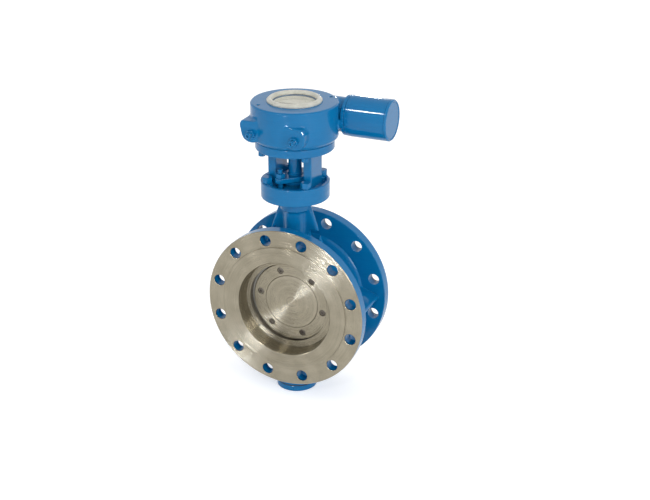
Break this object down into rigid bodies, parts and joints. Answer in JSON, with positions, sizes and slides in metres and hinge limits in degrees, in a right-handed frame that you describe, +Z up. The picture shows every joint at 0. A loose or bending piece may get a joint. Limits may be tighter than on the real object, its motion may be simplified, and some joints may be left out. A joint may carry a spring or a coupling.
{
  "type": "butterfly valve",
  "caption": "Double-flanged butterfly valve with a leaning metal seat, a yoke-mounted worm gearbox and a lidded input lock.",
  "frame": {"origin": "centre of the bottom cover's flat underside, on the stem's axis", "axes": "+Z up the stem, -Y out of the machined inlet face along the pipe, +X along the gearbox input"},
  "size_m": [0.34, 0.2045, 0.6203],
  "materials": {
    "enamel": "glossy blue enamel on castings and the bolts painted with them",
    "stainless": "turned stainless steel with fine tool marks",
    "steel": "bright steel",
    "graphite": "black graphite packing and gasket",
    "laminate": "dark steel and graphite laminate",
    "bronze": "bearing bronze",
    "iron": "oiled ductile iron",
    "cream": "cream indicator parts",
    "glass": "clear sight glass"
  },
  "bodies": {
    "frame": {"body_casting": "enamel", "seat_ring": "stainless", "lower_bush": "bronze", "upper_bush": "bronze", "thrust_pad": "bronze", "bottom_gasket": "graphite", "bottom_cover": "enamel", "cover_screw_1": "steel", "cover_screw_2": "steel", "cover_screw_3": "steel", "cover_screw_4": "steel", "packing_ring_1": "graphite", "packing_ring_2": "graphite", "packing_ring_3": "graphite", "gland_bush": "steel", "gland_flange": "enamel", "gland_stud_1": "steel", "gland_stud_2": "steel", "gland_nut_1": "enamel", "gland_nut_2": "enamel", "yoke": "enamel", "yoke_bolt_1": "enamel", "yoke_bolt_2": "enamel", "yoke_bolt_3": "enamel", "yoke_bolt_4": "enamel", "gearbox_bolt_1": "enamel", "gearbox_bolt_2": "enamel", "gearbox_bolt_3": "enamel", "gearbox_bolt_4": "enamel", "gear_housing": "enamel", "indicator_bezel": "cream", "indicator_window": "glass", "worm_bearing_near": "bronze", "worm_bearing_far": "bronze", "tunnel_end_plug": "enamel", "stop_locknut_closed": "enamel", "stop_locknut_open": "enamel", "lock_flange": "enamel", "lock_body": "enamel"},
    "rotor": {"stem": "stainless", "disc": "stainless", "disc_seal_ring": "laminate", "retainer_ring": "stainless", "retainer_screw_1": "steel", "retainer_screw_2": "steel", "retainer_screw_3": "steel", "retainer_screw_4": "steel", "retainer_screw_5": "steel", "retainer_screw_6": "steel", "taper_pin_lower": "steel", "taper_pin_upper": "steel", "worm_wheel": "iron", "stop_segment": "iron", "stem_key": "steel", "indicator_plate": "cream"},
    "worm": {"worm_shaft": "steel", "input_coupling": "steel"},
    "lid": {"lock_lid": "enamel"},
    "closed_stop": {"stop_screw_closed": "enamel"},
    "open_stop": {"stop_screw_open": "enamel"}
  },
  "joints": [
    {"name": "stem_turn", "type": "hinge", "parent": "frame", "child": "rotor", "pos_m": [0, 0, 0.577], "axis": [0, 0, 1], "range_deg": [0, 90]},
    {"name": "worm_turn", "type": "hinge", "parent": "frame", "child": "worm", "pos_m": [0, 0.064, 0.577], "axis": [1, 0, 0], "range_deg": [0, 3600]},
    {"name": "lid_off", "type": "slide", "parent": "frame", "child": "lid", "axis": [1, 0, 0], "range_m": [0, 0.06]},
    {"name": "closed_stop_screw", "type": "slide", "parent": "frame", "child": "closed_stop", "axis": [0, -1, 0], "range_m": [0, 0.004]},
    {"name": "open_stop_screw", "type": "slide", "parent": "frame", "child": "open_stop", "axis": [0, -1, 0], "range_m": [0, 0.004]}
  ],
  "couplings": [
    {"joint": "worm_turn", "follows": "stem_turn", "ratio": 40}
  ]
}
